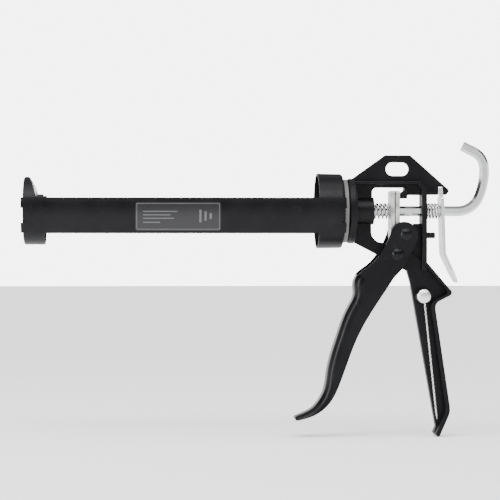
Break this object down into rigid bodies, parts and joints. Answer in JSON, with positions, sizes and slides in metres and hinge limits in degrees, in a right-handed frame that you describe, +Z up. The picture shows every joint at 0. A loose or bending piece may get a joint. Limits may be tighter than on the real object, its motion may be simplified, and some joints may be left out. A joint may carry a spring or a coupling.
{
  "type": "caulking gun",
  "caption": "Skeleton caulking gun: revolving two-strap cradle, hexagonal push rod with hook, cast body with fixed grip, pivoting trigger, release lever and piercing wire.",
  "frame": {"origin": "middle of the bounding box at the height of the grip's foot, with the rod at rest fully forward", "axes": "+X along the push rod from the muzzle to the hook, +Z up through the hanging slot, -Y the side with the label and the piercing wire"},
  "size_m": [0.3566, 0.0604, 0.2254],
  "materials": {
    "black_paint": "satin black powder coat",
    "black_rivet": "glossy black oxide",
    "zinc_steel": "bright zinc plate",
    "spring_steel": "bright drawn wire",
    "nylon": "matt natural nylon",
    "label": "satin printed film"
  },
  "bodies": {
    "frame": {"body_frame": "black_paint", "swivel_washer": "nylon", "swivel_nut": "zinc_steel", "lever_stop_pin": "black_paint", "pivot_pin": "black_rivet", "pierce_rivet": "zinc_steel", "drive_spring": "spring_steel", "release_spring": "spring_steel"},
    "cradle": {"front_cap": "black_paint", "left_strap": "black_paint", "right_strap": "black_paint", "rear_collar": "black_paint", "label_plate": "label"},
    "rod": {"push_rod": "zinc_steel", "piston_disc": "zinc_steel", "piston_washer": "zinc_steel", "piston_nut": "zinc_steel"},
    "trigger": {"trigger": "black_paint", "drive_pin": "black_rivet", "drive_roller": "zinc_steel"},
    "drive_plates": {"drive_plate_front": "zinc_steel", "drive_plate_rear": "zinc_steel"},
    "release_lever": {"release_lever": "zinc_steel"},
    "pierce_wire": {"pierce_wire": "spring_steel"}
  },
  "joints": [
    {"name": "cradle_turn", "type": "hinge", "parent": "frame", "child": "cradle", "pos_m": [0.06042, 0, 0.17211], "axis": [1, 0, 0], "continuous": true},
    {"name": "trigger_squeeze", "type": "hinge", "parent": "frame", "child": "trigger", "pos_m": [0.10595, 0, 0.13905], "axis": [0, -1, 0], "range_deg": [0, 28], "stiffness_Nm_per_rad": 0.8, "springref_deg": -20.05},
    {"name": "drive_plates_slide", "type": "slide", "parent": "frame", "child": "drive_plates", "axis": [-1, 0, 0], "range_m": [0, 0.00803], "deforming": ["drive_spring"]},
    {"name": "rod_slide", "type": "slide", "parent": "frame", "child": "rod", "axis": [1, 0, 0], "range_m": [0, 0.2182]},
    {"name": "release_press", "type": "hinge", "parent": "frame", "child": "release_lever", "pos_m": [0.14066, 0, 0.18962], "axis": [0, 1, 0], "range_deg": [0, 6], "stiffness_Nm_per_rad": 0.4, "springref_deg": -14.32, "deforming": ["release_spring"]},
    {"name": "pierce_wire_swing", "type": "hinge", "parent": "frame", "child": "pierce_wire", "pos_m": [0.12624, -0.01215, 0.10712], "axis": [0, -1, 0], "range_deg": [0, 170]}
  ],
  "couplings": [
    {"joint": "drive_plates_slide", "follows": "trigger_squeeze", "m_per_rad": 0.01638}
  ]
}
